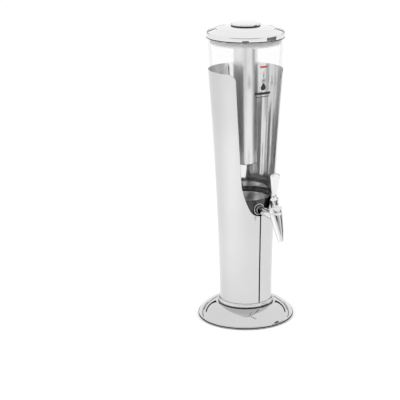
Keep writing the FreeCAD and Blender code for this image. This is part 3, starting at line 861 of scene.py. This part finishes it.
class TOWER_OT_lid(bpy.types.Operator):
    """Pressed lid with its lining, seal and collar"""
    bl_idname = "tower.lid"
    bl_label = "Lid"

    def execute(self, context):
        s = sizes()
        rim, seat, top = s.lid_radius / MM, top_of("lid_shell") / MM, s.tank_top / MM
        t, low, hole, land = 1.5, 601.4, 26.5, 33.0
        outline = path((rim - t, low), (rim, low), (rim, 610.5),
                       ((rim - 1.0, 612.6), (rim - 3.2, 613.9)),
                       (62.6, 618.6), (62.0, 619.8), ((47.0, 622.9), (land, seat)), (hole, seat),
                       (hole, seat - t), (land, seat - t), ((47.0, 622.9 - t), (61.0, 619.8 - t)),
                       (61.4, 618.6 - t), (rim - 4.0, 613.0 - t), (rim - t, 610.5 - t), fine=16)
        shell = turned("lid_top", outline, s.sides)
        dress(shell, "lid", "lid_chrome", lid_chrome(), "lid_shell")
        # Near-black lip round the lid rim's lower edge: painted shade along the dark gap under the rim.
        outline = [(rim - 1.2, low - 0.5), (rim + 0.15, low - 0.5), (rim + 0.15, low + 1.1),
                   (rim - 0.05, low + 1.1), (rim - 0.05, low - 0.1), (rim - 1.2, low - 0.1)]
        trim = turned("lid_rim_shade_line", outline, s.sides, ease=0.15)
        dress(trim, "lid", "seal_rubber", painted_shade_black())
        plate = top + 1.0
        outline = [(27.6, plate), (70.4, plate), (70.4, 588.0), (72.9, 588.0), (72.9, plate),
                   (rim - t - 0.1, plate), (rim - t - 0.1, plate + 2.0), (27.6, plate + 2.0)]
        lining = turned("lid_lining", outline, s.sides)
        dress(lining, "lid", "lid_plastic", lid_plastic(), "lid_liner")
        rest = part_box("lid_seal")
        seal_r = rest[1].x / MM
        outline = [(73.0, 591.0), (73.4, 591.0), (73.75, 592.5), (73.75, 596.5), (73.4, top + 0.05),
                   (seal_r, top + 0.05), (seal_r, plate - 0.05), (73.0, plate - 0.05)]
        seal = turned("lid_seal_ring", outline, s.sides, ease=0.3)
        dress(seal, "lid", "seal_clear", milky_seal(), "lid_seal")
        bore = 25.6
        outline = [(bore, 598.0), (27.5, 598.0), (27.5, 608.05), (31.5, 608.05),
                   (31.5, seat - t - 0.05), (bore, seat - t - 0.05)]
        collar = turned("lid_collar_ring", outline, s.sides)
        dress(collar, "lid", "lid_plastic", lid_plastic(), "lid_collar")
        return {"FINISHED"}


class TOWER_OT_ice_tube(bpy.types.Operator):
    """Drawn ice tube with its rounded end, and the flat cap with its plug"""
    bl_idname = "tower.ice_tube"
    bl_label = "Ice tube"

    def execute(self, context):
        s = sizes()
        seat = top_of("ice_tube") / MM
        low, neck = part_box("ice_tube_base")[0].z / MM, 604.3
        r, top_r, t, bend = 24.0, 25.0, 1.0, 3.0
        k = bend * (1 - math.sqrt(0.5))
        outline = path((0.0, low), (r - bend, low), ((r - k, low + k), (r, low + bend)),
                       (top_r, neck),
                       (top_r, seat - 0.9), (29.2, seat - 0.9), (29.2, seat), (top_r - t, seat),
                       (top_r - t, neck),
                       (r - t, low + bend),
                       ((r - k - 0.7 * t, low + k + 0.7 * t), (r - bend, low + t)),
                       (0.0, low + t), fine=10)
        tube = turned("ice_tube_steel", outline, s.sides)
        dress(tube, "ice_tube", "ice_steel", ice_tube_steel(), "ice_tube", "ice_tube_base")

        cap_r, cap_top = reach_of("ice_cap") / MM, top_of("ice_cap") / MM
        cap_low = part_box("ice_cap")[0].z / MM
        under = seat + 0.05
        outline = path((0.0, under), (29.6, under), (29.6, cap_low), (cap_r, cap_low),
                       (cap_r, cap_top - 1.6),
                       ((cap_r - 0.5, cap_top - 0.5), (cap_r - 1.6, cap_top)),
                       (0.0, cap_top), fine=6)
        cap = turned("ice_cap_disc", outline, s.sides, ease=0.3)
        dress(cap, "ice_cap", "cap_chrome", lid_chrome(), "ice_cap")
        # Thin black band round the cap's foot: painted shade standing in for the dark gap under the
        # cap's top.
        outline = band(cap_r - 0.1, cap_r + 0.25, cap_low + 0.1, cap_low + 2.0)
        strip = turned("ice_cap_shade_band", outline, s.sides, ease=0.1)
        dress(strip, "ice_cap", "seal_rubber", black_plastic_and_painted_shade())
        plug_r, groove_r = 23.0, 21.9
        outline = [(0.0, 610.0), (22.0, 610.0), (plug_r, 611.0), (plug_r, 614.6), (groove_r, 614.6),
                   (groove_r, 617.4), (plug_r, 617.4), (plug_r, under), (0.0, under)]
        plug = turned("ice_cap_plug_body", outline, s.sides)
        dress(plug, "ice_cap", "lid_plastic", lid_plastic(), "ice_cap_plug")
        return {"FINISHED"}


def tank_radius(z):
    """Outside radius of the clear wall at height z."""
    points = path((52.5, CUP_TOP), (*TANK_POLES, (77.4, 605.0)), fine=60)
    for (r0, z0), (r1, z1) in zip(points, points[1:]):
        if z0 <= z <= z1:
            return r0 + (r1 - r0) * (z - z0) / (z1 - z0)
    return points[-1][0]


def wrap_on_tank(piece):
    """Lay a flat piece drawn in X and Z on the front of the tank."""
    for vertex in piece.data.vertices:
        r = tank_radius(vertex.co.z / MM) * MM + sizes().print_lift - vertex.co.y
        turn = vertex.co.x / r
        vertex.co = (r * math.sin(turn), -r * math.cos(turn), vertex.co.z)


class TOWER_OT_print(bpy.types.Operator):
    """Generic printed marks on the tank: a drop over two bars, and a short red fill line"""
    bl_idname = "tower.print"
    bl_label = "Print"

    def execute(self, context):
        centre, drop_z, drop_r = -2.0, 508.0, 6.0
        dark = ("Printed Dark", finishes().print_dark)
        self.bar("mark_bar_upper", centre, 495.5, 37.0, 5.0, *dark)
        self.bar("mark_bar_lower", centre, 488.8, 31.0, 1.6, *dark)
        self.bar("fill_line_red", centre, 550.5, 17.0, 4.0, "Printed Red", finishes().print_red)
        start_clean()
        bpy.ops.mesh.primitive_circle_add(vertices=40, radius=drop_r * MM, fill_type="NGON",
                                          rotation=(math.radians(90), 0, 0),
                                          location=(0, 0, drop_z * MM))
        bpy.ops.object.transform_apply(location=True, rotation=True, scale=True)
        drop = named("mark_drop")
        pinch, stretch = 0.75, 1.7
        for vertex in drop.data.vertices:
            up = vertex.co.z - drop_z * MM
            if up > 0:
                vertex.co.x *= 1 - pinch * up / (drop_r * MM)
                vertex.co.z = drop_z * MM + up * stretch
            vertex.co.x += centre * MM
        self.finish(drop, *dark)
        return {"FINISHED"}

    def bar(self, name, x, z, wide, high, finish, tint):
        start_clean()
        bpy.ops.mesh.primitive_grid_add(x_subdivisions=12, y_subdivisions=2, size=1.0)
        piece = named(name)
        for vertex in piece.data.vertices:
            vertex.co = ((x + vertex.co.x * wide) * MM, 0.0, (z + vertex.co.y * high) * MM)
        self.finish(piece, finish, tint)

    def finish(self, piece, finish, tint):
        wrap_on_tank(piece)
        modify(piece, "SOLIDIFY", thickness=0.08 * MM, offset=1.0)
        close_mesh(piece)
        dress(piece, "tank", "cup_black", printed(finish, tint))


FRONT_TURN = -31.3      # bearing of the camera, degrees from straight ahead of the tap


class TOWER_OT_stage(bpy.types.Operator):
    """Plain pale floor, soft studio light and the camera"""
    bl_idname = "tower.stage"
    bl_label = "Stage"

    def execute(self, context):
        start_clean()
        bpy.ops.mesh.primitive_grid_add(x_subdivisions=24, y_subdivisions=24, size=40.0)
        floor = named("studio_floor")
        floor.location.z = -0.0005
        bpy.ops.object.transform_apply(location=True, rotation=False, scale=False)
        material, _, shader, _ = blank_material("Pale Floor")
        shader.inputs["Base Color"].default_value = (0.97, 0.97, 0.97, 1.0)
        shader.inputs["Roughness"].default_value = 0.9
        shader.inputs["Specular IOR Level"].default_value = 0.0
        floor.data.materials.append(material)

        self.studio_sky()
        self.card("grey_card_right", 50.7, 2.2, 1.43, 0.0, 0.55, 0.16)
        self.card("dark_card_tap", 46.0, 0.6, 0.14, 0.17, 0.31, 0.14)
        self.card("dark_card_back_right", 108.7, 2.6, 1.9, 0.47, 0.58)
        self.card("dark_card_back_left", 188.7, 2.6, 1.9, 0.47, 0.58)
        self.card("dark_card_front", FRONT_TURN, 1.0, 0.33, 0.30, 0.40)
        self.card("dark_card_streak_right", 127.0, 2.6, 1.7, 0.66, 0.76)
        self.card("dark_card_streak_left", 170.0, 2.6, 1.7, 0.66, 0.76)
        self.card("dark_card_high_right", 120.0, 2.6, 2.0, 1.04, 1.24)
        self.card("dark_card_high_left", 177.5, 2.6, 2.0, 1.04, 1.24)
        # Painted shadow round the foot, seen only in the foot's reflections.
        self.painted_shadow_ring("painted_shadow_ring_floor", 0.1035, 0.125)
        self.soft_light("floor_light_right", (1.0, -0.9, 1.6), 1.0, 5.5)
        self.soft_light("floor_light_left", (-0.9, -0.1, 1.0), 0.6, 3.5)

        camera = bpy.data.cameras.new("Camera")
        camera.sensor_width = 36.0
        camera.lens = 127.46
        camera.shift_x, camera.shift_y = -0.114, -0.002
        camera.clip_end = 100.0
        holder = bpy.data.objects.new("Camera", camera)
        bpy.context.scene.collection.objects.link(holder)
        azimuth, pitch = math.radians(FRONT_TURN), math.radians(15.84)
        distance, height = 2.8762, 1.0717
        holder.location = (distance * math.sin(azimuth), -distance * math.cos(azimuth), height)
        holder.rotation_euler = (math.radians(90) - pitch, 0.0, azimuth)
        bpy.context.scene.camera = holder
        scene = bpy.context.scene
        scene.view_settings.view_transform = "Standard"
        scene.cycles.max_bounces, scene.cycles.glossy_bounces = 24, 14
        scene.cycles.transparent_max_bounces = 64
        return {"FINISHED"}

    def studio_sky(self):
        """White tent all round, open and dark low down in front, where the photographer stands."""
        world = bpy.data.worlds.new("Soft Studio")
        bpy.context.scene.world = world
        world.use_nodes = True
        tree = world.node_tree
        links = tree.links
        sky = tree.nodes["Background"]
        sky.inputs["Color"].default_value = (1.0, 1.0, 1.0, 1.0)
        place = node(tree, "ShaderNodeTexCoord", (-1300, 0))
        parts = node(tree, "ShaderNodeSeparateXYZ", (-1100, 150))
        front = node(tree, "ShaderNodeVectorMath", (-1100, -150), operation="DOT_PRODUCT")
        front.inputs[1].default_value = (-0.52, -0.854, 0.0)
        low = span(tree, (-850, 150), 0.30, 0.12, interpolation_type="SMOOTHSTEP")
        toward = span(tree, (-850, -150), 0.55, 0.85, interpolation_type="SMOOTHSTEP")
        opening = node(tree, "ShaderNodeMath", (-600, 0), operation="MULTIPLY")
        power = node(tree, "ShaderNodeMapRange", (-350, 0))
        power.inputs["To Min"].default_value = 1.05
        power.inputs["To Max"].default_value = 0.5
        links.new(place.outputs["Generated"], parts.inputs["Vector"])
        links.new(place.outputs["Generated"], front.inputs[0])
        links.new(parts.outputs["Z"], low.inputs["Value"])
        links.new(front.outputs["Value"], toward.inputs["Value"])
        links.new(low.outputs["Result"], opening.inputs[0])
        links.new(toward.outputs["Result"], opening.inputs[1])
        links.new(opening.outputs["Value"], power.inputs["Value"])
        links.new(power.outputs["Result"], sky.inputs["Strength"])

    def unseen(self, card, tone=0.01):
        """Keep a dark card out of the picture and the shadows; only reflections show it."""
        material, _, shader, _ = blank_material(card.name)
        shader.inputs["Base Color"].default_value = (tone, tone, tone, 1.0)
        shader.inputs["Roughness"].default_value = 1.0
        shader.inputs["Specular IOR Level"].default_value = 0.0
        card.data.materials.append(material)
        card.visible_camera = card.visible_diffuse = card.visible_shadow = False
        card.visible_transmission = False

    def card(self, name, turn, distance, wide, low, high, tone=0.01):
        """Upright card, turned from straight ahead of the tap by turn degrees towards +X."""
        start_clean()
        angle = math.radians(turn)
        bpy.ops.mesh.primitive_plane_add(size=1.0, rotation=(math.radians(90), 0, angle))
        card = named(name)
        card.scale = (wide, high - low, 1.0)
        card.location = (distance * math.sin(angle), -distance * math.cos(angle), (low + high) / 2)
        bpy.ops.object.transform_apply(location=True, rotation=True, scale=True)
        self.unseen(card, tone)

    def painted_shadow_ring(self, name, near, far):
        """Flat dark ring on the floor round the foot, a painted shadow that only reflections show, which
        darkens the foot's lower edge.
        """
        start_clean()
        bpy.ops.mesh.primitive_circle_add(vertices=96, radius=near, location=(0, 0, -0.0003))
        card = named(name)
        bpy.ops.object.mode_set(mode="EDIT")
        bpy.ops.mesh.extrude_region_move()
        bpy.ops.transform.resize(value=(far / near, far / near, 1))
        bpy.ops.object.mode_set(mode="OBJECT")
        bpy.ops.object.transform_apply(location=True, rotation=False, scale=False)
        self.unseen(card)

    def soft_light(self, name, at, size, watts):
        start_clean()
        bpy.ops.object.light_add(type="AREA", location=at)
        lamp = bpy.context.active_object
        lamp.name = name
        lamp.data.shape = "DISK"
        lamp.data.size = size
        lamp.data.energy = watts
        lamp.visible_glossy = False


class TOWER_PT_pieces(bpy.types.Panel):
    bl_label = "Beer Tower"
    bl_idname = "TOWER_PT_pieces"
    bl_space_type = "VIEW_3D"
    bl_region_type = "UI"
    bl_category = "Beer Tower"

    def draw(self, context):
        column = self.layout.column()
        for made in PIECES:
            column.operator(made.bl_idname)
        for group in (context.scene.tower_sizes, context.scene.tower_finishes):
            box = self.layout.box()
            for key in group.__annotations__:
                box.prop(group, key)


PIECES = (TOWER_OT_stage, TOWER_OT_foot, TOWER_OT_ring, TOWER_OT_housing, TOWER_OT_tank,
          TOWER_OT_tap, TOWER_OT_lid, TOWER_OT_ice_tube, TOWER_OT_print, TOWER_OT_fittings)
CLASSES = (TowerSizes, TowerFinishes, *PIECES, TOWER_PT_pieces)


def register():
    for made in CLASSES:
        bpy.utils.register_class(made)
    bpy.types.Scene.tower_sizes = PointerProperty(type=TowerSizes)
    bpy.types.Scene.tower_finishes = PointerProperty(type=TowerFinishes)


def unregister():
    del bpy.types.Scene.tower_finishes
    del bpy.types.Scene.tower_sizes
    for made in reversed(CLASSES):
        bpy.utils.unregister_class(made)


def main():
    register()
    for made in PIECES:
        group, name = made.bl_idname.split(".")
        result = getattr(getattr(bpy.ops, group), name)()
        if "FINISHED" not in result:
            raise RuntimeError(made.bl_label + " wasn't finished")
    start_clean()


if __name__ == "__main__":
    main()
